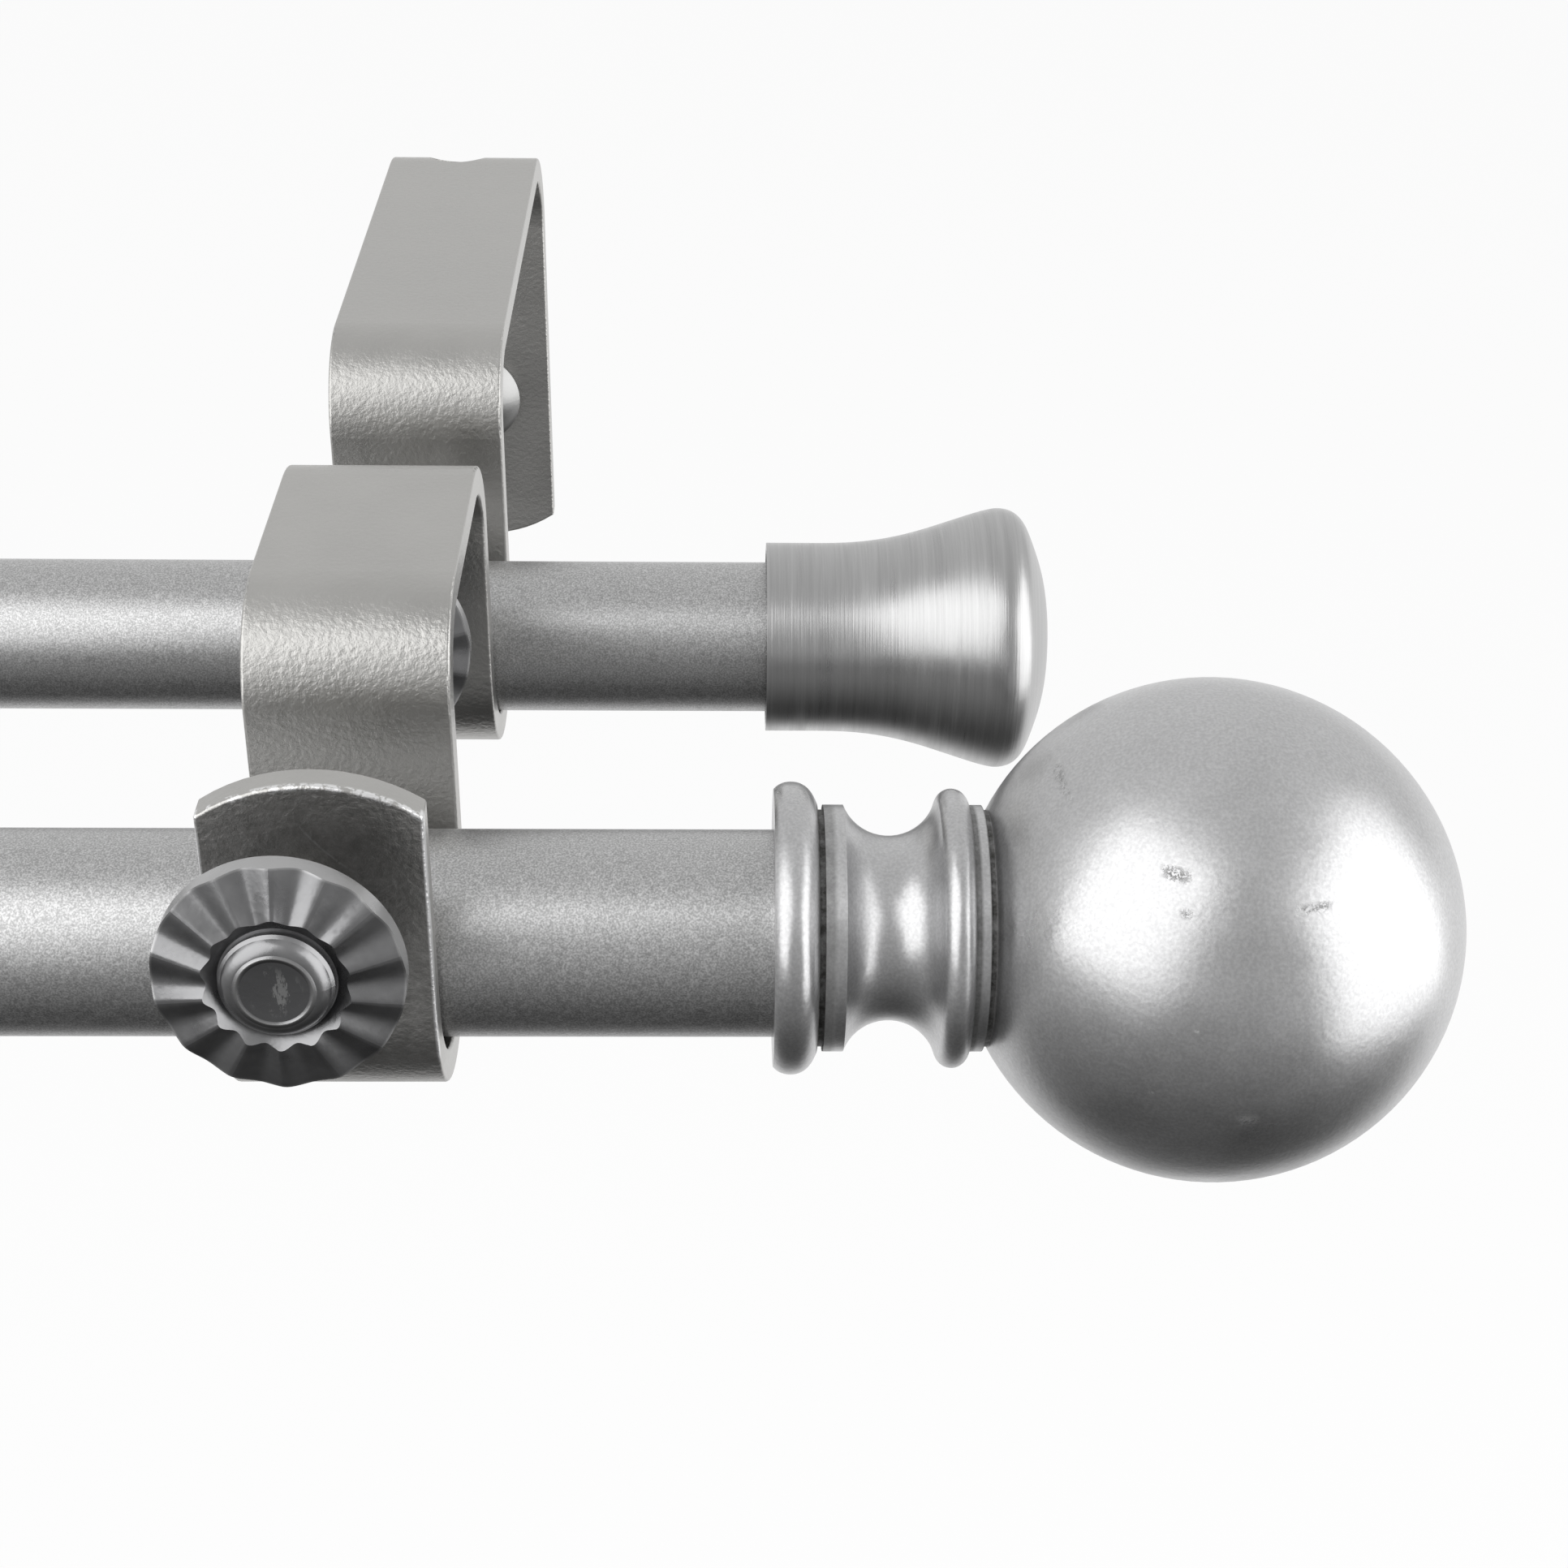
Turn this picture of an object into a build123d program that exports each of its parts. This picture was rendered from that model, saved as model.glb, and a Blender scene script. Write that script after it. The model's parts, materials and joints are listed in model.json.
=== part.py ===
from build123d import *
import os
from math import asin, cos, pi, radians, sin, sqrt, tan

os.makedirs("parts", exist_ok=True)

# Frame: X runs along the pole, Y=0 is the wall and the room is at -Y, Z is up.
# The origin is the middle of the four wall screws, on the wall.
# All sizes are in millimetres, all angles in degrees.

# Pole
pole_length = 711.0            # from finial to finial, pushed right in
pole_travel = 508.0            # how far each rod draws out
front_rod_diameter = 25.4
rear_rod_diameter = 22.2
front_rod_lift = 0.75          # the front rod is clamped this far up the cradle's back
tube_wall = 0.8
slide_gap = 0.1                # between the two tubes of a rod, all round
tube_overlap = 50.0            # left inside the outer tube, drawn right out
outer_tube_setback = 18.0      # from the left bracket's centre to the outer tube's mouth
tube_edge = 0.25               # bevel on the tubes' ends

# Bracket strap
strap_width = 25.4
strap_thickness = 4.0
strap_edge = 0.4               # rolled edge of the strap
bend_radius = 9.0              # inside of each square bend
wall_bend_radius = 12.0        # inside of the bend at the wall plate
end_overhang = 52.0            # from a bracket's centre to the finial's face
rear_reach = 118.0             # from the wall to the middle of the rear cradle
cradle_pitch = 82.0            # between the two cradles
cradle_radius = 13.8
cradle_depth = 49.7            # from the top of the arm to the cradle's inside
lip_height = 45.9              # from the cradle's inside to the lip's crown
crown_radius = 22.0            # of the rounded strap ends

# Holes in the strap
hole_offset = 1.5              # of the wall holes from the strap's centre line, towards the left
screw_hole_offset = 2.6        # of the thumbscrews' tapped holes, the same way
wall_screw_spacing = 28.0
arm_above_screw = 21.0         # from the upper wall screw to the top of the arm
plate_below_screw = 28.5       # from the lower wall screw to the plate's lowest point
wall_hole_radius = 2.5
bend_hole_radius = 4.9
bend_hole_angle = 72.0         # round the bend, from the wall plate

# Wall screws and their covers
wall_screw_radius = 2.1
wall_screw_neck = 2.35         # radius under the head, inside the plate's hole
wall_screw_reach = 34.0        # behind the wall's face
wall_screw_point = 7.0
pan_radius = 4.2
pan_height = 3.0
pan_flat = 2.4                 # radius of the flat on the head
recess_width = 1.2             # of each slot in the cross
recess_length = 4.6
recess_depth = 1.6
cover_radius = 8.7
cover_height = 5.2
cover_wall = 0.7
cover_skirt = 1.2              # straight part of the side

# Thumbscrews, one list entry for each cradle: front, then rear
screw_heights = (27.9, 23.5)   # of the tapped hole above the cradle's inside
screw_leans = (4.0, 9.0)       # of the screw, knob up
screw_radius = 3.0
screw_gap = 0.05               # running clearance in the tapped hole
tip_gap = 0.15                 # from the screw's round tip to the tube
screw_length = 25.8            # from its round tip to its head, inside the knob
knob_radius = 13.95
knob_rim = 2.5                 # mean thickness of the disc at its rim
knob_crest = 3.9               # mean thickness of the disc at the inner end of the flutes
flute_count = 14
flute_inner_radius = 8.5
flute_depth = 0.6              # from crest to trough of the wave across the face
flute_points = 8               # of the curve through one wave
moat_floor = 2.9               # thickness left under the ring round the boss
moat_radius = 6.6              # where the ring's floor starts to rise to the flutes
boss_radius = 6.4
boss_wall_top = 3.9            # height of the boss's upright wall
boss_bevel = 0.35              # on top of that wall
boss_height = 5.4
boss_flat_radius = 4.1
boss_dish = 0.15               # depth of the dished middle
boss_bulge = 0.3               # of the rounded shoulder
hub_radius = 5.0
hub_length = 3.5
stud_seat = 2.2                # of the screw, inside the knob's disc

# Ball finial, from its face outwards
ball_radius = 30.9
ball_centre = 53.4
finial_socket = 6.0            # depth to which the finial covers the tube
finial_gap = 0.05              # between the socket and the outer tube
finial_rise = 0.8              # of the finial above its own socket, which is off its centre
bead_width = 5.3               # the larger bead, at the face
bead_radius = 17.9
bead_crest = 2.0               # place of its largest radius
bead_face_radius = 17.0
bead_root = 15.2               # radius where it drops into the groove
band_radius = 15.1             # of the plain bands beside the beads
band_width = 2.5
cove_width = 11.4
cove_radius = 11.3             # at its thinnest
collar_width = 3.7             # the smaller bead
collar_radius = 17.1
collar_root = 15.8
groove_width = 0.7
groove_depth = 0.6
finial_screw_radius = 3.0
finial_screw_grip = 15.0       # of the threaded stud, in the finial
finial_screw_hold = 15.0       # of the threaded stud, in the plug
plug_length = 15.0             # of the spigot in the tube
plug_head = 1.5                # of the right plug, behind the tube's end
plug_gap = 0.05

# End cap of the rear rod, from its mouth outwards
cap_mouth_radius = 14.0
cap_straight = 8.0
cap_waist_radius = 15.9        # part way up the flare
cap_waist_place = 22.5
cap_rim_radius = 19.3
cap_rim_place = 34.3
cap_dome_radius = 15.3         # where the rim rounds over into the dome
cap_dome_place = 39.0
cap_length = 41.7
cap_wall = 1.0
cap_hollow = 22.0              # depth of the bore
sleeve_gap = 0.05
sleeve_setback = 1.0           # of the sleeve, inside the cap's mouth
sleeve_stop = 2.0              # thickness of the flange behind the tube's end
sleeve_hole = 6.0

# Worked out from the sizes above
bend_outer = bend_radius + strap_thickness
wall_bend_outer = wall_bend_radius + strap_thickness
arm_top = wall_screw_spacing / 2 + arm_above_screw
plate_bottom = -wall_screw_spacing / 2 - plate_below_screw
cradle_floor = arm_top - cradle_depth
cradle_centres = (-rear_reach - cradle_pitch, -rear_reach)
outer_radii = (front_rod_diameter / 2, rear_rod_diameter / 2)
inner_radii = tuple(r - tube_wall - slide_gap for r in outer_radii)
front_play = cradle_radius - outer_radii[0]
front_back = sqrt(front_play**2 - (front_play - front_rod_lift) ** 2)
rod_heights = (cradle_floor + outer_radii[0] + front_rod_lift, cradle_floor + outer_radii[1])
rod_backs = (front_back, 0.0)  # how far each rod lies behind its cradle's middle
rod_places = tuple(y + back for y, back in zip(cradle_centres, rod_backs))
bracket_spacing = pole_length - 2 * end_overhang
bracket_x = {"right": bracket_spacing / 2 + hole_offset, "left": -bracket_spacing / 2 + hole_offset}
outward = {"right": 1, "left": -1}
finial_socket_radius = outer_radii[0] + finial_gap
finial_tube_insert = {"right": finial_socket - plug_head, "left": 0}
tube_insert = {side: cap_hollow - sleeve_stop for side in outward}
face_x = {side: bracket_x[side] + outward[side] * end_overhang for side in outward}


def save(shape, name):
    shape.label = name
    export_step(shape, f"parts/{name}.step")


def bore(plane, radius, start, end):
    """A cylinder on the plane's axis, from start to end along it."""
    return plane * Pos(0, 0, (start + end) / 2) * Cylinder(radius, abs(end - start))


def bent_strip(start, heading, moves, thickness):
    """Face of a bent strip: a number is a straight run, a pair is a turn and its inner radius."""
    edges = []
    at, along = Vector(*start), Vector(*heading)
    for move in moves:
        if isinstance(move, tuple):
            turn, inner = move
            edge = JernArc(at, along, inner + thickness / 2, turn)
        else:
            edge = Line(at, at + along * move)
        edges.append(edge)
        at, along = edge @ 1, edge % 1
    return trace(Curve() + edges, line_width=thickness)


def crown(x, tip, up):
    """What is cut off a strap end to leave it rounded, with its crown at the tip's height."""
    block = Pos(x, 0, tip - up * crown_radius / 2) * Box(2 * strap_width, 2 * strap_thickness, crown_radius)
    disc = Rot(90, 0, 0) * Cylinder(crown_radius, 4 * strap_thickness)
    return block - Pos(x, 0, tip - up * crown_radius) * disc


def thumbscrew_plane(which, side):
    """Origin where the screw's axis meets the front of the lip, Z along the screw towards the knob."""
    lean = radians(screw_leans[which])
    place = (
        bracket_x[side] - screw_hole_offset,
        cradle_centres[which] - cradle_radius - strap_thickness,
        cradle_floor + screw_heights[which],
    )
    return Plane(origin=place, x_dir=(1, 0, 0), z_dir=(0, -cos(lean), sin(lean)))


def make_bracket(side):
    x = bracket_x[side]
    leg = arm_top - bend_outer - cradle_floor - cradle_radius
    rear_arm = rear_reach - cradle_radius - wall_bend_outer - bend_outer
    front_arm = cradle_pitch - 2 * cradle_radius - 2 * bend_outer
    moves = [arm_top - wall_bend_outer - plate_bottom, (90, wall_bend_radius)]
    moves += [rear_arm, (90, bend_radius), leg, (-180, cradle_radius), leg]
    moves += [(90, bend_radius), front_arm, (90, bend_radius), leg, (-180, cradle_radius)]
    moves += [lip_height - cradle_radius]
    strip = bent_strip((-strap_thickness / 2, plate_bottom), (0, 1), moves, strap_thickness)
    strap = Pos(x, 0, 0) * extrude(Plane.YZ * strip, strap_width / 2, both=True)
    lip_middle = cradle_centres[0] - cradle_radius - strap_thickness / 2
    strap -= Pos(0, -strap_thickness / 2, 0) * crown(x, plate_bottom, -1)
    strap -= Pos(0, lip_middle, 0) * crown(x, cradle_floor + lip_height, 1)
    strap = fillet(strap.edges().filter_by(Axis.X, reverse=True), strap_edge)

    hole_x = x - hole_offset
    for z in (wall_screw_spacing / 2, -wall_screw_spacing / 2):
        strap -= bore(Plane((hole_x, 0, z), z_dir=(0, -1, 0)), wall_hole_radius, -1, strap_thickness + 1)
    angle = radians(bend_hole_angle)
    bend_centre = (hole_x, -wall_bend_outer, arm_top - wall_bend_outer)
    radial = Plane(bend_centre, z_dir=(0, cos(angle), sin(angle)))
    strap -= bore(radial, bend_hole_radius, wall_bend_radius - 2, wall_bend_outer + 1)
    for which in (0, 1):
        axis = thumbscrew_plane(which, side)
        strap -= bore(axis, screw_radius + screw_gap, -2 * strap_thickness, strap_thickness)
    return strap


def make_tube(radius, left, right, y, z):
    ring = Circle(radius) - Circle(radius - tube_wall)
    tube = Plane((left, y, z), x_dir=(0, 1, 0), z_dir=(1, 0, 0)) * extrude(ring, right - left)
    return chamfer(tube.edges().filter_by(GeomType.CIRCLE), tube_edge)


def tip_depth(which, radius):
    """Depth of the screw's round tip behind the lip when it bears on a tube of this radius."""
    lean = radians(screw_leans[which])
    ahead = cradle_radius + strap_thickness + rod_backs[which]
    above = screw_heights[which] + cradle_floor - rod_heights[which]
    along = ahead * cos(lean) + above * sin(lean)
    aside = above * cos(lean) - ahead * sin(lean)
    reach = radius + screw_radius + tip_gap
    return along - sqrt(max(reach**2 - aside**2, 0)) + screw_radius


def make_thumbscrew(which, side):
    """The threaded stud and the knob that is cast on its end."""
    axis = thumbscrew_plane(which, side)
    tube_radius = (outer_radii if side == "right" else inner_radii)[which]
    tip = -tip_depth(which, tube_radius)
    slant = screw_radius * sin(radians(45))
    tip_side = (slant, tip + screw_radius - slant)
    head = tip + screw_length
    half = [
        Line((0, head), (screw_radius, head)),
        Line((screw_radius, head), (screw_radius, tip + screw_radius)),
        ThreePointArc((screw_radius, tip + screw_radius), tip_side, (0, tip)),
        Line((0, tip), (0, head)),
    ]
    return turned(half, axis), axis * Pos(0, 0, head - stud_seat) * make_knob()


def flute_section(distance):
    """What is cut off above one wave, seen along the radius, at a distance from the knob's axis."""
    reach = (distance - flute_inner_radius) / (knob_radius - flute_inner_radius)
    mean = knob_crest + (knob_rim - knob_crest) * reach
    half_wave = distance * tan(pi / flute_count)
    wave = []
    for i in range(flute_points + 1):
        share = 2 * i / flute_points - 1
        wave.append((share * half_wave, mean - cos(pi * share) * flute_depth / 2))
    floor = Spline(*wave, tangents=((1, 0), (1, 0)))
    above = Polyline(floor @ 1, (half_wave, 2 * boss_height), (-half_wave, 2 * boss_height), floor @ 0)
    plane = Plane(origin=(distance, 0, 0), x_dir=(0, 1, 0), z_dir=(1, 0, 0))
    return plane * make_face([floor, *above.edges()])


def make_knob():
    """Round knob with waves across its face and a raised boss in a ring, back of the disc at Z=0."""
    middle = (boss_flat_radius / 2, boss_height - boss_dish * 3 / 4)
    flat_edge = (boss_flat_radius, boss_height)
    foot = (boss_radius - boss_bevel, boss_wall_top + boss_bevel)
    shoulder = ((flat_edge[0] + foot[0]) / 2 + boss_bulge / 2, (flat_edge[1] + foot[1]) / 2 + boss_bulge)
    outline = [
        (boss_radius, moat_floor),
        (moat_radius, moat_floor),
        (flute_inner_radius, knob_crest + flute_depth),
        (knob_radius, knob_rim + flute_depth),
        (knob_radius, 0),
        (hub_radius, 0),
        (hub_radius, -hub_length),
        (0, -hub_length),
        (0, boss_height - boss_dish),
    ]
    half = [
        ThreePointArc((0, boss_height - boss_dish), middle, flat_edge),
        ThreePointArc(flat_edge, shoulder, foot),
        Line(foot, (boss_radius, boss_wall_top)),
        Line((boss_radius, boss_wall_top), outline[0]),
        *Polyline(*outline).edges(),
    ]
    knob = turned(half, Plane.XY)
    cutter = loft([flute_section(moat_radius), flute_section(knob_radius + strap_thickness)], ruled=True)
    knob -= [Rot(0, 0, i * 360 / flute_count) * cutter for i in range(flute_count)]
    return knob - bore(Plane.XY, screw_radius, -hub_length, stud_seat)


def turned(edges, plane):
    """A solid turned from a closed run of edges drawn as (radius, place along the axis)."""
    return plane * revolve(Plane.XZ * make_face(edges), Axis.Z)


def rod_end(which, side):
    """Origin in the finial's flat face on a rod's axis, Z pointing away from the rod."""
    place = (face_x[side], rod_places[which], rod_heights[which])
    return Plane(origin=place, x_dir=(0, 1, 0), z_dir=(outward[side], 0, 0))


def make_finial(side):
    """Beads, cove and ball, turned in one piece, with a socket for the rod and a tapped hole."""
    edges = []
    at = (0, 0)

    def to(radius, place):
        nonlocal at
        edges.append(Line(at, (radius, place)))
        at = (radius, place)

    to(bead_face_radius, 0)
    bead_end = (bead_root, bead_width)
    edges.append(Spline(at, (bead_radius, bead_crest), bead_end, tangents=((1, 0.9), (-1, 0.35))))
    at = bead_end
    to(band_radius - groove_depth, bead_width)
    to(band_radius - groove_depth, bead_width + groove_width)
    to(band_radius, bead_width + groove_width)
    cove_start = bead_width + groove_width + band_width
    to(band_radius, cove_start)
    cove_end = cove_start + cove_width
    edges.append(ThreePointArc(at, (cove_radius, (cove_start + cove_end) / 2), (collar_root, cove_end)))
    collar_start = (collar_root, cove_end)
    collar_end = cove_end + collar_width
    at = (collar_root, collar_end)
    edges.append(ThreePointArc(collar_start, (collar_radius, (cove_end + collar_end) / 2), at))
    to(band_radius, collar_end)
    seat_radius = band_radius - groove_depth
    ball_seat = ball_centre - sqrt(ball_radius**2 - seat_radius**2)
    to(band_radius, ball_seat - groove_width)
    to(seat_radius, ball_seat - groove_width)
    to(seat_radius, ball_seat)
    ball_end = (0, ball_centre + ball_radius)
    edges.append(ThreePointArc(at, (ball_radius, ball_centre), ball_end))
    at = ball_end
    to(0, 0)
    finial = Pos(0, 0, finial_rise) * turned(edges, rod_end(0, side))
    socket = bore(Plane.XY, finial_socket_radius, -1, finial_socket)
    hole = bore(Plane.XY, finial_screw_radius, 0, finial_socket + finial_screw_grip)
    return finial - rod_end(0, side) * (socket + hole)


def make_end_cap(side):
    """Hollow flared cap with a rounded rim and a shallow dome."""
    plane = rod_end(1, side)
    flare = [
        Line((0, 0), (cap_mouth_radius, 0)),
        Line((cap_mouth_radius, 0), (cap_mouth_radius, cap_straight)),
        Spline((cap_mouth_radius, cap_straight), (cap_waist_radius, cap_waist_place),
               (cap_rim_radius, cap_rim_place), tangents=((0, 1), (0, 1)), tangent_scalars=(1, 0.5)),
        Spline((cap_rim_radius, cap_rim_place), (cap_dome_radius, cap_dome_place),
               (0, cap_length), tangents=((0, 1), (-1, 0))),
        Line((0, cap_length), (0, 0)),
    ]
    cap = plane * revolve(Plane.XZ * make_face(flare), Axis.Z)
    inside = plane * bore(Plane.XY, cap_mouth_radius - cap_wall, -1, cap_hollow)
    return cap - inside


def make_sleeve(side):
    """Plastic sleeve inside the end cap, stopped by a flange behind the tube's end."""
    radius = (outer_radii if side == "right" else inner_radii)[1]
    plane = rod_end(1, side)
    outside = cap_mouth_radius - cap_wall
    sleeve = bore(Plane.XY, outside, sleeve_setback, cap_hollow)
    sleeve -= bore(Plane.XY, radius + sleeve_gap, 0, tube_insert[side])
    sleeve -= bore(Plane.XY, sleeve_hole, 0, cap_hollow + 1)
    return plane * sleeve


def make_plug(side):
    """Plug in the end of the front rod: a head in the finial's socket and a spigot in the tube."""
    radius = (outer_radii if side == "right" else inner_radii)[0]
    head_start = finial_tube_insert[side]
    plug = bore(Plane.XY, outer_radii[0], head_start, finial_socket)
    plug += bore(Plane.XY, radius - tube_wall - plug_gap, head_start - plug_length, head_start)
    plug -= bore(Plane.XY, finial_screw_radius, head_start - plug_length - 1, finial_socket + 1)
    return rod_end(0, side) * plug


def make_finial_stud(side):
    return rod_end(0, side) * bore(
        Plane.XY, finial_screw_radius, finial_socket - finial_screw_hold, finial_socket + finial_screw_grip)


def make_wall_screw(side, z):
    """Pan-head wood screw with a cross recess; the part behind the plate stands in the wall."""
    face = strap_thickness
    half = [
        Line((0, face + pan_height), (pan_flat, face + pan_height)),
        Spline((pan_flat, face + pan_height), (pan_radius, face + pan_height / 3),
               tangents=((1, -0.3), (0, -1))),
        Line((pan_radius, face + pan_height / 3), (pan_radius, face)),
        Line((pan_radius, face), (wall_screw_neck, face)),
        Line((wall_screw_neck, face), (wall_screw_neck, 0)),
        Line((wall_screw_neck, 0), (wall_screw_radius, 0)),
        Line((wall_screw_radius, 0), (wall_screw_radius, wall_screw_point - wall_screw_reach)),
        Line((wall_screw_radius, wall_screw_point - wall_screw_reach), (0, -wall_screw_reach)),
        Line((0, -wall_screw_reach), (0, face + pan_height)),
    ]
    axis = Plane(origin=(bracket_x[side] - hole_offset, 0, z), x_dir=(1, 0, 0), z_dir=(0, -1, 0))
    screw = turned(half, axis)
    cut = Pos(0, 0, face + pan_height) * Box(recess_length, recess_width, 2 * recess_depth)
    return screw - axis * cut - axis * Rot(0, 0, 90) * cut


def make_cover(side):
    """Pressed cover over the lower wall screw's head, hollow, standing on the plate."""
    base = strap_thickness
    top = base + cover_height
    inner = cover_radius - cover_wall
    half = [
        Line((inner, base), (cover_radius, base)),
        Line((cover_radius, base), (cover_radius, base + cover_skirt)),
        ThreePointArc((cover_radius, base + cover_skirt), cover_shoulder(cover_radius, base, cover_height),
                      (0, top)),
        Line((0, top), (0, top - cover_wall)),
        ThreePointArc((0, top - cover_wall), cover_shoulder(inner, base, cover_height - cover_wall),
                      (inner, base + cover_skirt)),
        Line((inner, base + cover_skirt), (inner, base)),
    ]
    place = (bracket_x[side] - hole_offset, 0, -wall_screw_spacing / 2)
    return turned(half, Plane(origin=place, x_dir=(1, 0, 0), z_dir=(0, -1, 0)))


def cover_shoulder(radius, base, height):
    """Point half way along the arc from the skirt's top to the middle of the cover."""
    rise = height - cover_skirt
    arc_radius = (radius**2 + rise**2) / (2 * rise)
    half_angle = asin(radius / arc_radius) / 2
    return (arc_radius * sin(half_angle), base + height - arc_radius * (1 - cos(half_angle)))


for side in outward:
    save(make_bracket(side), f"bracket_{side}")
    save(make_wall_screw(side, wall_screw_spacing / 2), f"upper_wall_screw_{side}")
    save(make_wall_screw(side, -wall_screw_spacing / 2), f"lower_wall_screw_{side}")
    save(make_cover(side), f"screw_cover_{side}")
    save(make_finial(side), f"ball_finial_{side}")
    save(make_finial_stud(side), f"finial_stud_{side}")
    save(make_plug(side), f"front_plug_{side}")
    save(make_end_cap(side), f"end_cap_{side}")
    save(make_sleeve(side), f"end_sleeve_{side}")
    for which, rod in enumerate(("front", "rear")):
        stud, knob = make_thumbscrew(which, side)
        save(stud, f"{rod}_screw_stud_{side}")
        save(knob, f"{rod}_knob_{side}")

outer_mouth = bracket_x["left"] + outer_tube_setback
inner_end = outer_mouth + tube_overlap + pole_travel
inserts = (finial_tube_insert, tube_insert)
for which, rod in enumerate(("front", "rear")):
    place = (rod_places[which], rod_heights[which])
    right_end = face_x["right"] + inserts[which]["right"]
    left_end = face_x["left"] - inserts[which]["left"]
    save(make_tube(outer_radii[which], outer_mouth, right_end, *place), f"{rod}_outer_tube")
    save(make_tube(inner_radii[which], left_end, inner_end, *place), f"{rod}_inner_tube")
print("ok")
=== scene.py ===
import json
from functools import reduce
from math import cos, pi, radians, sin

import bmesh
import bpy
from mathutils import Matrix, Vector


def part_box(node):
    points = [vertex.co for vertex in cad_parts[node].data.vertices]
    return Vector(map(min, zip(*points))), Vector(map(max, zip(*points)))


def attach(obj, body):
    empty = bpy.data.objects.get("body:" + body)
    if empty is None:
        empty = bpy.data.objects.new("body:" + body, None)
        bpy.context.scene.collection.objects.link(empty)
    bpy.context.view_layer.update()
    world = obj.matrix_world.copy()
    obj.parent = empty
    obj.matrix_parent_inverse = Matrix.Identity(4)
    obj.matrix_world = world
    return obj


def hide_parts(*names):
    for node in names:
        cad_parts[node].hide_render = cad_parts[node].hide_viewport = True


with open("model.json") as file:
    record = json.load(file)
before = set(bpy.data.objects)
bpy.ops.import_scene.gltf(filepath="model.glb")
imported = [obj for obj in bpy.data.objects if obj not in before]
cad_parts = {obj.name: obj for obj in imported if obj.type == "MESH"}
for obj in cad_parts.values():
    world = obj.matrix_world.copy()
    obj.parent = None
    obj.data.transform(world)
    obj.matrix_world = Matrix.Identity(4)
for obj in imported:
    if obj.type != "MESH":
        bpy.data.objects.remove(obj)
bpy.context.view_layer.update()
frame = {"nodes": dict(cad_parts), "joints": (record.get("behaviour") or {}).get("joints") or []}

mm = 0.001

# Places in the frame, from the part's own sizes

wall_holes_middle = 1.5 * mm                # the brackets stand to either side of this x
bracket_side = 303.5 * mm                   # from there to each bracket's wall holes
lip_back_y = -216.5 * mm                    # just behind the front of the front lips
lip_front_y = -217.1 * mm
crown_middle_z = 9.2 * mm                   # centre of the rounded top of the lips
finial_face = 355.5 * mm                    # from wall_holes_middle to each finial's face
ball_front_y = -199 * mm
knob_sides = (302.4 * mm, -304.6 * mm)      # x of the thumbscrews' axes
# Where each thumbscrew's axis meets its lip, as y and z, and how far it leans back in degrees.
knob_axes = ((-217.8 * mm, 13.2 * mm, 4.0), (-135.8 * mm, 8.8 * mm, 9.0))
knob_zone = 25 * mm                         # no part of a knob is further from its lip in y


# Materials

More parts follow.
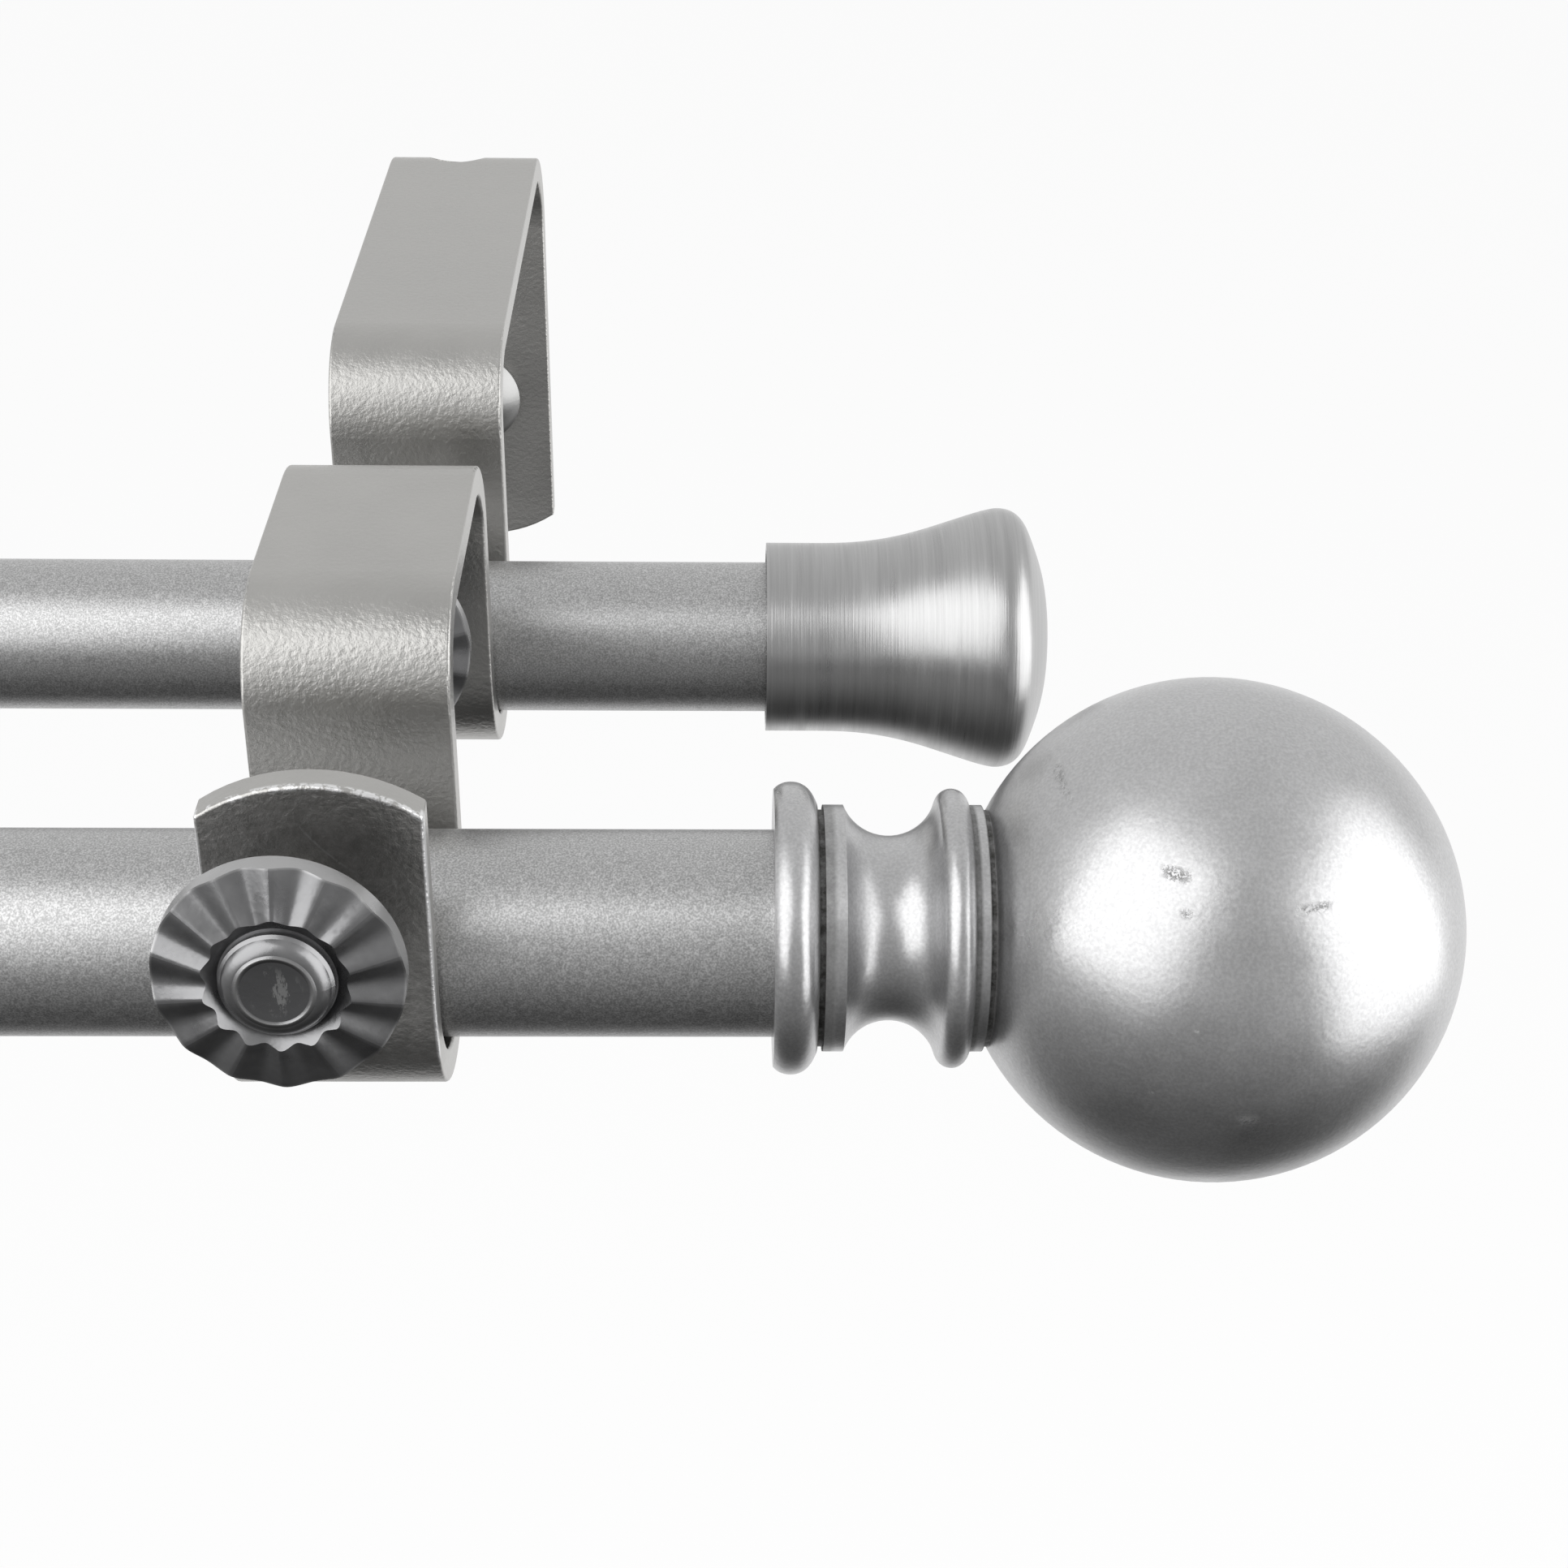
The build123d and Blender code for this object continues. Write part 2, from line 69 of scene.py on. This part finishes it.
class Nodes:
    """Short hand for building one material's nodes. Every size in it is in metres."""

    def __init__(self, name, metallic=1.0):
        self.mat = bpy.data.materials.new(name)
        self.mat.use_nodes = True
        self.tree = self.mat.node_tree
        self.shader = self.tree.nodes["Principled BSDF"]
        self.set(Metallic=metallic)

    def add(self, kind, **inputs):
        node = self.tree.nodes.new(kind)
        for key, value in inputs.items():
            self.put(node.inputs[key.replace("_", " ")], value)
        return node

    def put(self, socket, value):
        if isinstance(value, bpy.types.NodeSocket):
            self.tree.links.new(value, socket)
        else:
            socket.default_value = value

    def set(self, **inputs):
        for key, value in inputs.items():
            self.put(self.shader.inputs[key.replace("_", " ")], value)

    def place(self):
        """The point in the frame, as x, y and z."""
        return self.add("ShaderNodeSeparateXYZ", Vector=self.add("ShaderNodeTexCoord").outputs["Object"]).outputs

    def facing(self):
        """How far the surface faces along y: -1 is straight to the room."""
        normal = self.add("ShaderNodeTexCoord").outputs["Normal"]
        return self.add("ShaderNodeSeparateXYZ", Vector=normal).outputs["Y"]

    def noise(self, scale, detail=3.0, stretch=(1, 1, 1), rough=0.5):
        """Noise over the point in the frame, in blotches of 1/scale metres."""
        where = self.add("ShaderNodeTexCoord").outputs["Object"]
        spread = self.add("ShaderNodeMapping", Vector=where, Scale=stretch).outputs["Vector"]
        return self.add("ShaderNodeTexNoise", Vector=spread, Scale=scale, Detail=detail,
                        Roughness=rough).outputs["Fac"]

    def ramp(self, fac, low, high, a, b):
        """A colour that goes from a to b as fac goes from low to high."""
        node = self.add("ShaderNodeValToRGB", Fac=fac)
        for element, position, colour in zip(node.color_ramp.elements, (low, high), (a, b)):
            element.position, element.color = position, grey(colour)
        return node.outputs["Color"]

    def span(self, value, low, high, a, b):
        """A number that goes from a to b as value goes from low to high."""
        return self.add("ShaderNodeMapRange", Value=value, From_Min=low, From_Max=high, To_Min=a,
                        To_Max=b).outputs["Result"]

    def maths(self, kind, a, b=0.0):
        node = self.add("ShaderNodeMath")
        node.operation = kind
        self.put(node.inputs[0], a)
        self.put(node.inputs[1], b)
        return node.outputs[0]

    def away(self, value, place):
        """Distance of a coordinate from a place."""
        return self.maths("ABSOLUTE", self.maths("SUBTRACT", value, place))

    def hypotenuse(self, a, b):
        squares = self.maths("ADD", self.maths("POWER", a, 2.0), self.maths("POWER", b, 2.0))
        return self.maths("POWER", squares, 0.5)

    # Masks run from 0 to 1.

    def over(self, value, limit, soft):
        return self.span(value, limit - soft / 2, limit + soft / 2, 0.0, 1.0)

    def under(self, value, limit, soft):
        return self.span(value, limit - soft / 2, limit + soft / 2, 1.0, 0.0)

    def all_of(self, *masks):
        return reduce(lambda a, b: self.maths("MULTIPLY", a, b), masks)

    def any_of(self, *masks):
        return reduce(lambda a, b: self.maths("MAXIMUM", a, b), masks)

    def mix(self, fac, a, b):
        node = self.add("ShaderNodeMix")
        node.data_type = "RGBA"
        for socket, value in zip((node.inputs[0], node.inputs[6], node.inputs[7]), (fac, a, b)):
            self.put(socket, value)
        return node.outputs[2]

    def bump(self, height, distance, strength, under=None):
        node = self.add("ShaderNodeBump", Height=height, Distance=distance, Strength=strength)
        if under is not None:
            self.put(node.inputs["Normal"], under)
        return node.outputs["Normal"]


def grey(value):
    """A colour from one level or from three."""
    return (*value, 1.0) if isinstance(value, tuple) else (value, value, value, 1.0)


def make_strap():
    """Pitted nickel, with a mottled and worn front lip and a painted highlight down its outer corner."""
    m = Nodes("strap_nickel")
    x, y, z = m.place()
    pits = m.noise(1250, 3.0, rough=0.6)
    smears = m.noise(70, 4.0)
    mottle = m.noise(700, 4.0, rough=0.7)
    from_middle = m.away(m.away(x, wall_holes_middle), bracket_side)
    at_lip = m.under(y, lip_back_y, 0.6 * mm)
    lip_face = m.all_of(at_lip, m.under(m.facing(), -0.7, 0.2))
    # Bright nicks on the front edge of the lip's crown, and a pale line down its outer corner that is partly
    # wear and partly a painted highlight on its rounded edge.
    crown_radius = m.hypotenuse(from_middle, m.maths("SUBTRACT", z, crown_middle_z))
    rim = m.all_of(m.over(crown_radius, 21.4 * mm, 0.3 * mm), m.under(y, lip_front_y, 0.4 * mm))
    nicks = m.all_of(rim, m.over(m.noise(260, 4.0, rough=0.7), 0.55, 0.05))
    corner = m.all_of(at_lip, m.over(from_middle, 12.35 * mm, 0.15 * mm))
    wear_and_highlight_line = m.all_of(corner, m.over(m.noise(200, 4.0, rough=0.7), 0.42, 0.08))
    # One faint scratch on the right lip's face, part of a circle.
    sweep = m.hypotenuse(m.maths("SUBTRACT", x, 325.6 * mm), m.maths("SUBTRACT", z, 40.6 * mm))
    scratch = m.all_of(m.under(m.away(sweep, 26.14 * mm), 0.12 * mm, 0.15 * mm), m.over(mottle, 0.42, 0.2),
                       m.over(z, 20.5 * mm, 2 * mm), m.under(z, 26.5 * mm, 2 * mm), lip_face, m.over(x, 0.0, mm))
    colour = m.ramp(smears, 0.3, 0.75, (0.47, 0.465, 0.45), (0.53, 0.524, 0.508))
    colour = m.mix(lip_face, colour, m.ramp(mottle, 0.35, 0.7, (0.44, 0.435, 0.42), (0.62, 0.61, 0.595)))
    # The nicks, and the corner line that is partly wear and partly a painted highlight, are painted pale.
    colour = m.mix(m.any_of(nicks, wear_and_highlight_line), colour, grey(0.88))
    colour = m.mix(m.maths("MULTIPLY", scratch, 0.6), colour, grey(0.85))
    m.set(Base_Color=colour, Roughness=m.span(smears, 0.3, 0.7, 0.30, 0.42), Normal=m.bump(pits, 0.18 * mm, 0.6))
    return m.mat


def make_rod():
    """Flecked silver paint."""
    m = Nodes("rod_silver", metallic=0.95)
    fleck = m.noise(4200, 1.0, rough=0.6)
    grain = m.noise(1300, 3.0, rough=0.7)
    m.set(Base_Color=m.mix(0.5, m.ramp(fleck, 0.38, 0.66, 0.30, 0.78), m.ramp(grain, 0.3, 0.7, 0.42, 0.58)),
          Roughness=m.span(grain, 0.3, 0.7, 0.32, 0.44), Normal=m.bump(grain, 0.06 * mm, 0.45))
    return m.mat


def ball_spot(m, coordinates, place, half_size, soft, extra):
    """A patch on the right ball's front; extra breaks it up."""
    x, y, z = coordinates
    beside = m.under(m.away(x, place[0] * mm), half_size[0] * mm, soft[0] * mm)
    above = m.under(m.away(z, place[1] * mm), half_size[1] * mm, soft[1] * mm)
    return m.all_of(beside, above, m.under(y, ball_front_y, mm), extra)


def make_ball():
    """Pewter paint, with dark wash in the grooves and a few small marks."""
    m = Nodes("ball_pewter")
    x, y, z = m.place()
    cloud = m.noise(55, 5.0, rough=0.6)
    speck = m.noise(2600, 2.0)
    grit = m.noise(1500, 4.0, rough=0.8)
    paint = m.mix(0.35, m.ramp(cloud, 0.3, 0.75, (0.50, 0.50, 0.505), (0.60, 0.60, 0.608)),
                  m.ramp(speck, 0.35, 0.7, 0.42, 0.72))
    # Wash beside the beads and at the ball's seat: place from the face, half width and fade in mm, and depth.
    from_face = m.maths("SUBTRACT", m.away(x, wall_holes_middle), finial_face)
    grooves = [m.span(m.away(from_face, middle * mm), half * mm, (half + fade) * mm, most, 0.0)
               for middle, half, fade, most in ((5.6, 0.35, 0.25, 1.0), (6.4, 0.5, 0.6, 0.55),
                                                (23.9, 0.3, 0.35, 0.75), (25.75, 0.3, 0.2, 1.0))]
    wash = m.all_of(m.any_of(*grooves), m.span(m.noise(700, 4.0, rough=0.75), 0.35, 0.62, 0.7, 1.0))
    # Scuffs through the paint, and small pale rubs below them: x and z, then half width and height, in mm.
    scuffs = m.any_of(*(ball_spot(m, (x, y, z), place, half_size, (1.2, 0.8), m.span(grit, 0.48, 0.56, 0.0, 0.7))
                        for place, half_size in (((401.7, 21.0), (1.2, 0.35)), ((416.9, 18.5), (1.8, 0.2)),
                                                 ((390.4, 22.9), (0.6, 0.3)), ((402.7, 17.8), (0.3, 0.2)))))
    rubs = m.any_of(*(ball_spot(m, (x, y, z), place, (wide, 0.6 * wide), (wide, wide), m.over(grit, 0.47, 0.12))
                      for place, wide in (((410.9, -6.1), 1.1), ((404.1, 5.9), 0.25), ((399.8, -3.3), 0.3))))
    stain = m.any_of(wash, scuffs)
    dents = m.bump(scuffs, -0.2 * mm, 0.6)
    m.set(Base_Color=m.mix(stain, m.mix(rubs, paint, grey(0.9)), grey((0.035, 0.034, 0.030))),
          Roughness=m.span(m.any_of(cloud, stain), 0.3, 0.9, 0.25, 0.5),
          Metallic=m.span(stain, 0.0, 1.0, 0.95, 0.3),
          Normal=m.bump(m.noise(1100, 3.0), 0.05 * mm, 0.5, under=dents))
    return m.mat


def axis_distance(m, coordinates):
    """Distance from the nearest thumbscrew's axis."""
    x, y, z = coordinates
    distances = []
    for axis_x in knob_sides:
        for axis_y, axis_z, lean in knob_axes:
            side = m.maths("SUBTRACT", x, axis_x)
            rise = m.maths("MULTIPLY", m.maths("SUBTRACT", z, axis_z), cos(radians(lean)))
            back = m.maths("MULTIPLY", m.maths("SUBTRACT", y, axis_y), sin(radians(lean)))
            # The two axes of one bracket come near each other, so each counts only near its own lip.
            elsewhere = m.over(m.away(y, axis_y), knob_zone, mm)
            distances.append(m.maths("ADD", m.hypotenuse(side, m.maths("ADD", rise, back)), elsewhere))
    return reduce(lambda a, b: m.maths("MINIMUM", a, b), distances)


def make_knob():
    """Dark pewter, with a painted highlight on the rim's side, a crease round the boss's flat and scratches on
    it.
    """
    m = Nodes("knob_pewter")
    wear = m.noise(160, 4.0, rough=0.6)
    radius = axis_distance(m, m.place())
    to_front = m.under(m.facing(), -0.5, 0.3)
    crease = m.all_of(to_front, m.span(m.away(radius, 4.2 * mm), 0.05 * mm, 0.4 * mm, 1.0, 0.0))
    scratched = m.over(m.noise(620, 5.0, (1.0, 1.0, 0.35), rough=0.8), 0.56, 0.04)
    scratches = m.all_of(to_front, m.under(radius, 2.6 * mm, 1.6 * mm), scratched)
    boss_flat = m.all_of(to_front, m.under(radius, 4.1 * mm, 0.3 * mm))
    # Painted highlight: the rim's side is painted paler, standing in for the light that falls on its upward
    # face.
    rim_painted_highlight = m.over(radius, 13.75 * mm, 0.2 * mm)
    colour = m.ramp(wear, 0.3, 0.75, (0.26, 0.26, 0.265), (0.34, 0.34, 0.345))
    colour = m.mix(boss_flat, colour, grey((0.22, 0.22, 0.225)))
    # The rim's side takes its painted highlight.
    colour = m.mix(rim_painted_highlight, colour, grey((0.48, 0.48, 0.482)))
    colour = m.mix(m.any_of(scratches, m.maths("MULTIPLY", crease, 0.7)), colour, grey(0.5))
    m.set(Base_Color=colour, Roughness=m.span(wear, 0.3, 0.7, 0.24, 0.36),
          Normal=m.bump(m.noise(900, 3.0), 0.05 * mm, 0.5, under=m.bump(crease, 0.2 * mm, 0.7)))
    return m.mat


def make_cap():
    """Nickel brushed round the rod's axis."""
    m = Nodes("cap_nickel")
    brush = m.noise(2600, 3.0, (1, 0.012, 0.012), rough=0.75)
    streak = m.noise(500, 4.0, (1, 0.05, 0.05), rough=0.7)
    m.set(Base_Color=m.mix(0.5, m.ramp(brush, 0.3, 0.7, 0.40, 0.55), m.ramp(streak, 0.3, 0.7, 0.40, 0.54)),
          Roughness=m.span(streak, 0.3, 0.7, 0.24, 0.38), Normal=m.bump(brush, 0.08 * mm, 0.5))
    return m.mat


def make_cover():
    m = Nodes("cover_nickel")
    m.set(Base_Color=grey((0.38, 0.38, 0.376)), Roughness=0.36, Normal=m.bump(m.noise(800, 2.0), 0.05 * mm, 0.4))
    return m.mat


def make_zinc(name, dark, light, rough_low, rough_high):
    """Zinc plate with a little tarnish."""
    m = Nodes(name)
    tarnish = m.noise(400, 4.0)
    m.set(Base_Color=m.ramp(tarnish, 0.3, 0.7, dark, light),
          Roughness=m.span(tarnish, 0.3, 0.7, rough_low, rough_high),
          Normal=m.bump(m.noise(1500, 2.0), 0.03 * mm, 0.4))
    return m.mat


def make_plug():
    """Black moulded plastic."""
    m = Nodes("plug_black", metallic=0.0)
    moulded = m.noise(1800, 2.0)
    m.set(Base_Color=m.ramp(moulded, 0.3, 0.7, 0.024, 0.04), Roughness=m.span(moulded, 0.3, 0.7, 0.45, 0.62),
          Normal=m.bump(moulded, 0.04 * mm, 0.4))
    return m.mat


strap, rod, ball, knob, cap, cover, plug = (
    make_strap(), make_rod(), make_ball(), make_knob(), make_cap(), make_cover(), make_plug())
screw = make_zinc("screw_zinc", (0.50, 0.495, 0.48), (0.62, 0.615, 0.60), 0.24, 0.38)
stud = make_zinc("stud_zinc", (0.44, 0.435, 0.42), (0.58, 0.575, 0.56), 0.26, 0.40)

looks = {"bracket": strap, "screw_cover": cover, "upper_wall": screw, "lower_wall": screw,
         "ball_finial": ball, "finial_stud": stud, "front_plug": plug, "end_sleeve": plug,
         "end_cap": cap, "front_knob": knob, "rear_knob": knob, "front_screw": stud, "rear_screw": stud,
         "front_outer": rod, "front_inner": rod, "rear_outer": rod, "rear_inner": rod}
for name, obj in frame["nodes"].items():
    look = next(look for prefix, look in looks.items() if name.startswith(prefix))
    for place in obj.material_slots:
        place.material = look
    if not obj.material_slots:
        obj.data.materials.append(look)


# Threads: the thumbscrews' studs, which turn with their knobs, and the wall screws' shanks

stud_radius, stud_root, stud_pitch = 3.0 * mm, 2.4 * mm, 1.0 * mm
wall_screw_radius, wall_thread_depth, wall_pitch = 2.1 * mm, 0.6 * mm, 1.8 * mm
wall_screw_point = 7.0 * mm
thread_run_out = 4.0 * mm                   # over which the wall screws' thread dies away under the head
shank_from_y = 2.0 * mm                     # the CAD screws' heads and necks are kept up to here
shank_lap = 0.1 * mm                        # of the threaded shank into what is kept
steps_to_a_turn = 8


def thread_reach(along, turn, crest, root, pitch):
    """Radius of a right-hand thread, for a place along it and a part of a turn round it."""
    ridge = 1 - abs(2 * ((along / pitch - turn) % 1.0) - 1)
    return root + (crest - root) * min(max((ridge - 0.125) / 0.75, 0.0), 1.0)


def stud_reach(along, turn, length):
    """A machine thread with a round tip."""
    dome = stud_radius if along > stud_radius else (stud_radius**2 - (stud_radius - along) ** 2) ** 0.5
    return min(dome, thread_reach(along, turn, stud_radius, stud_root, stud_pitch))


def wall_screw_reach(along, turn, length):
    """A coarse thread with a long point."""
    full = min(max((length - along) / thread_run_out, 0.0), 1.0)
    root = wall_screw_radius - wall_thread_depth * full
    return min(along / wall_screw_point, 1.0) * thread_reach(along, turn, wall_screw_radius, root, wall_pitch)


def threaded_shank(bm, origin, axis, tip, head, reach, step, sides=36):
    """Adds a closed shank from its tip to its head; reach gives its radius."""
    rings = round((head - tip) / step)
    across = axis.cross(Vector((1, 0, 0))).normalized()
    upward = axis.cross(across)
    spokes = [across * cos(2 * pi * k / sides) + upward * sin(2 * pi * k / sides) for k in range(sides)]
    first, last = bm.verts.new(origin + axis * tip), bm.verts.new(origin + axis * head)
    loops = []
    for ring in range(1, rings + 1):
        along = (head - tip) * ring / rings
        loops.append([bm.verts.new(origin + axis * (tip + along) + spoke * reach(along, k / sides, head - tip))
                      for k, spoke in enumerate(spokes)])
    for k in range(sides):
        beside = (k + 1) % sides
        bm.faces.new((first, loops[0][beside], loops[0][k]))
        bm.faces.new((last, loops[-1][k], loops[-1][beside]))
        for low, high in zip(loops, loops[1:]):
            bm.faces.new((low[k], low[beside], high[beside], high[k]))


def finish_screw(bm, name, material, stands_for, body):
    """Makes the piece that stands for a plain CAD screw, and lets it ride on its body."""
    bmesh.ops.recalc_face_normals(bm, faces=bm.faces)
    mesh = bpy.data.meshes.new(name)
    bm.to_mesh(mesh)
    bm.free()
    mesh.shade_smooth()
    mesh.set_sharp_from_angle(angle=radians(40))
    mesh.materials.append(material)
    piece = bpy.data.objects.new(name, mesh)
    bpy.context.scene.collection.objects.link(piece)
    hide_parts(stands_for)
    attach(piece, body)


def make_stud(which, side):
    node = f"{which}_screw_stud_{side}"
    turn = next(joint for joint in frame["joints"] if joint["name"] == f"{which}_screw_turn_{side}")
    origin, axis = Vector(turn["pos_m"]), Vector(turn["axis"]).normalized()
    along = [(v.co - origin).dot(axis) for v in frame["nodes"][node].data.vertices]
    bm = bmesh.new()
    threaded_shank(bm, origin, axis, min(along), max(along), stud_reach, stud_pitch / steps_to_a_turn)
    finish_screw(bm, f"{which}_threaded_stud_{side}", stud, node, f"{which}_knob_{side}")


def make_wall_screw(which, side):
    """The CAD screw's head and neck, with a threaded shank behind the wall's face."""
    node = f"{which}_wall_screw_{side}"
    low, high = (Vector(corner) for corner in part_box(node))
    bm = bmesh.new()
    bm.from_mesh(frame["nodes"][node].data)
    bmesh.ops.remove_doubles(bm, verts=bm.verts, dist=0.002 * mm)
    bmesh.ops.bisect_plane(bm, geom=[*bm.verts, *bm.edges, *bm.faces], dist=0.0001 * mm,
                           plane_co=(0, shank_from_y, 0), plane_no=(0, 1, 0), clear_outer=True)
    bmesh.ops.holes_fill(bm, edges=[e for e in bm.edges if e.is_boundary])
    origin = Vector(((low.x + high.x) / 2, 0, (low.z + high.z) / 2))
    threaded_shank(bm, origin, Vector((0, -1, 0)), -high.y, shank_lap - shank_from_y, wall_screw_reach,
                   wall_pitch / steps_to_a_turn)
    finish_screw(bm, f"threaded_{node}", screw, node, "fixed")


for side in ("right", "left"):
    for which in ("front", "rear"):
        make_stud(which, side)
    for which in ("upper", "lower"):
        make_wall_screw(which, side)


# Camera of the photograph, fitted to its outlines

camera_data = bpy.data.cameras.new("photo_camera")
camera_data.lens = 60.63
camera_data.sensor_width = 36.0
camera_data.shift_x = -0.0015
camera_data.shift_y = 0.0004
camera_data.clip_start = 0.01
camera = bpy.data.objects.new("photo_camera", camera_data)
bpy.context.scene.collection.objects.link(camera)
camera_right = Vector((0.99975231, -0.01719677, 0.01412779))
camera_up = Vector((-0.00307111, 0.52211958, 0.85286676))
camera_back = Vector((-0.02204295, -0.8526989, 0.52193744))
turned = Matrix((camera_right, camera_up, camera_back)).transposed().to_4x4()
camera.matrix_world = Matrix.Translation((0.35145, -0.46577, 0.18341)) @ turned
bpy.context.scene.camera = camera


# Room, floor and lamps

def ranged(tree, value, low, high, a, b):
    """A Map Range node that takes value from low..high to a..b."""
    node = tree.nodes.new("ShaderNodeMapRange")
    for socket, number in zip(("From Min", "From Max", "To Min", "To Max"), (low, high, a, b)):
        node.inputs[socket].default_value = number
    tree.links.new(value, node.inputs["Value"])
    return node


def joined(tree, fac, a, b):
    """A Mix Shader node's output: a where fac is 0 and b where it is 1."""
    node = tree.nodes.new("ShaderNodeMixShader")
    if isinstance(fac, bpy.types.NodeSocket):
        tree.links.new(fac, node.inputs["Fac"])
    else:
        node.inputs["Fac"].default_value = fac
    tree.links.new(a, node.inputs[1])
    tree.links.new(b, node.inputs[2])
    return node.outputs[0]


def seen_rays(tree):
    """1 for camera, glossy and transmission rays."""
    rays = tree.nodes.new("ShaderNodeLightPath")
    sight = rays.outputs["Is Camera Ray"]
    for kind in ("Is Glossy Ray", "Is Transmission Ray"):
        most = tree.nodes.new("ShaderNodeMath")
        most.operation = "MAXIMUM"
        tree.links.new(sight, most.inputs[0])
        tree.links.new(rays.outputs[kind], most.inputs[1])
        sight = most.outputs[0]
    return sight


def separated(tree, coordinates):
    """x, y and z of one of the texture coordinates."""
    where = tree.nodes.new("ShaderNodeTexCoord")
    axes = tree.nodes.new("ShaderNodeSeparateXYZ")
    tree.links.new(where.outputs[coordinates], axes.inputs[0])
    return axes.outputs


def make_room():
    """A world that is bright behind, softer overhead and dark low in front, as the photo's metal shows it."""
    world = bpy.data.worlds.new("room")
    world.use_nodes = True
    tree = world.node_tree
    tree.nodes.clear()
    direction = separated(tree, "Generated")
    depth = ranged(tree, direction["Y"], -1.0, 1.0, 0.42, 0.83)
    height = ranged(tree, direction["Z"], -0.9, 0.1, 0.10, 1.0)
    level = tree.nodes.new("ShaderNodeMath")
    level.operation = "MULTIPLY"
    room = tree.nodes.new("ShaderNodeBackground")
    room.inputs["Color"].default_value = grey(1.0)
    out = tree.nodes.new("ShaderNodeOutputWorld")
    tree.links.new(depth.outputs["Result"], level.inputs[0])
    tree.links.new(height.outputs["Result"], level.inputs[1])
    tree.links.new(level.outputs[0], room.inputs["Strength"])
    tree.links.new(room.outputs[0], out.inputs["Surface"])
    return world


floor_z = -0.75
floor_half_width = 30.0
floor_front, floor_solid, floor_end = -0.2, 0.35, 40.0      # y where it starts, is fully there, and stops
floor_whiteness = 0.9                                       # share of plain white where it is seen


def make_floor():
    """White to sight behind the object, and faded out towards the room."""
    material = bpy.data.materials.new("floor_white")
    material.use_nodes = True
    tree = material.node_tree
    shader = tree.nodes["Principled BSDF"]
    shader.inputs["Base Color"].default_value = grey(0.9)
    shader.inputs["Roughness"].default_value = 0.9
    white = tree.nodes.new("ShaderNodeEmission")
    clear = tree.nodes.new("ShaderNodeBsdfTransparent")
    pale = joined(tree, floor_whiteness, shader.outputs[0], white.outputs[0])
    fade = ranged(tree, separated(tree, "Object")["Y"], floor_front, floor_solid, 0.0, 1.0)
    fade.interpolation_type = "SMOOTHSTEP"
    surface = joined(tree, seen_rays(tree), shader.outputs[0], pale)
    tree.links.new(joined(tree, fade.outputs["Result"], clear.outputs[0], surface),
                   tree.nodes["Material Output"].inputs["Surface"])
    mesh = bpy.data.meshes.new("floor")
    mesh.from_pydata([(-floor_half_width, floor_front, 0), (floor_half_width, floor_front, 0),
                      (floor_half_width, floor_end, 0), (-floor_half_width, floor_end, 0)], [], [(0, 1, 2, 3)])
    mesh.materials.append(material)
    floor = bpy.data.objects.new("floor", mesh)
    bpy.context.scene.collection.objects.link(floor)
    floor.location = (0, 0, floor_z)
    return floor


def make_lamp(name, target, direction, distance, size, power):
    data = bpy.data.lights.new(name, "AREA")
    data.shape = "RECTANGLE"
    data.size, data.size_y = size
    data.energy = power
    obj = bpy.data.objects.new(name, data)
    bpy.context.scene.collection.objects.link(obj)
    aim = Vector(direction).normalized()
    obj.location = Vector(target) + aim * distance
    obj.rotation_euler = aim.to_track_quat("Z", "Y").to_euler()


bpy.context.scene.world = make_room()
bpy.context.scene.view_settings.view_transform = "Standard"
make_floor()
lit_end = (0.35, -0.15, 0.0)
make_lamp("left_window", lit_end, (-0.65, -0.54, 0.55), 1.3, (1.5, 1.75), 13.0)
make_lamp("right_window", lit_end, (0.95, -0.27, 0.17), 1.2, (1.45, 1.65), 13.0)
